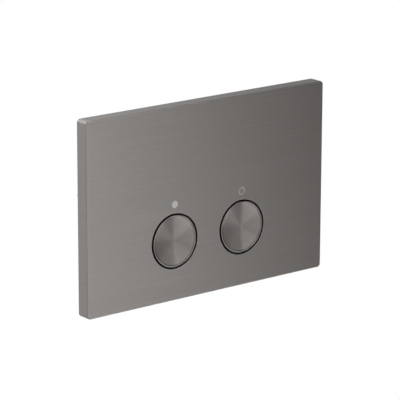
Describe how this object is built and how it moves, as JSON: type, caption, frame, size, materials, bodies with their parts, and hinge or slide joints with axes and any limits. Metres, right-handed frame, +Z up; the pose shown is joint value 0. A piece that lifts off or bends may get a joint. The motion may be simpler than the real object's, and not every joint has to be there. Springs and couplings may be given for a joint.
{
  "type": "flush button plate",
  "caption": "Dual flush wall plate in brushed steel with round dished push buttons on sprung plungers, a carrier that clips to a mounting frame for a concealed cistern.",
  "frame": {"origin": "middle of the plate's outline, on the wall face that the plate and its frame lie against", "axes": "+X to the right for a person who faces the plate, +Y into the wall along the push rods, +Z up"},
  "size_m": [0.246, 0.0732, 0.164],
  "materials": {
    "brushed_plate": "fine horizontal brushing, dark warm grey coating",
    "turned_cap": "circular turned, dark warm grey coating",
    "black_moulding": "fine moulded texture",
    "frame_moulding": "fine moulded texture",
    "white_moulding": "smooth acetal",
    "rod_moulding": "smooth, threaded",
    "zinc_steel": "bright zinc",
    "spring_steel": "drawn wire and sheet",
    "foam_rubber": "closed cell foam",
    "damper_rubber": "soft matt"
  },
  "bodies": {
    "plate_assembly": {"cover_plate": "brushed_plate", "cover_carrier": "black_moulding", "carrier_nuts": "zinc_steel", "full_flush_housing": "black_moulding", "half_flush_housing": "black_moulding", "housing_screws": "zinc_steel", "full_flush_spring": "spring_steel", "half_flush_spring": "spring_steel", "mounting_frame": "frame_moulding", "top_left_frame_clip": "spring_steel", "top_right_frame_clip": "spring_steel", "bottom_left_frame_clip": "spring_steel", "bottom_right_frame_clip": "spring_steel", "top_left_rattle_pad": "foam_rubber", "top_right_rattle_pad": "foam_rubber", "bottom_left_rattle_pad": "foam_rubber", "bottom_right_rattle_pad": "foam_rubber", "fixing_screws": "zinc_steel"},
    "full_flush": {"full_flush_button": "turned_cap", "full_flush_plunger": "white_moulding", "full_flush_damper": "damper_rubber", "full_flush_retaining_clip": "spring_steel", "full_flush_push_rod": "rod_moulding", "full_flush_lock_nut": "white_moulding"},
    "half_flush": {"half_flush_button": "turned_cap", "half_flush_plunger": "white_moulding", "half_flush_damper": "damper_rubber", "half_flush_retaining_clip": "spring_steel", "half_flush_push_rod": "rod_moulding", "half_flush_lock_nut": "white_moulding"}
  },
  "joints": [
    {"name": "full_flush_press", "type": "slide", "parent": "plate_assembly", "child": "full_flush", "axis": [0, 1, 0], "range_m": [0, 0.006], "stiffness_N_per_m": 1000, "springref_m": -0.004, "deforming": ["full_flush_spring"]},
    {"name": "half_flush_press", "type": "slide", "parent": "plate_assembly", "child": "half_flush", "axis": [0, 1, 0], "range_m": [0, 0.006], "stiffness_N_per_m": 1000, "springref_m": -0.004, "deforming": ["half_flush_spring"]}
  ]
}
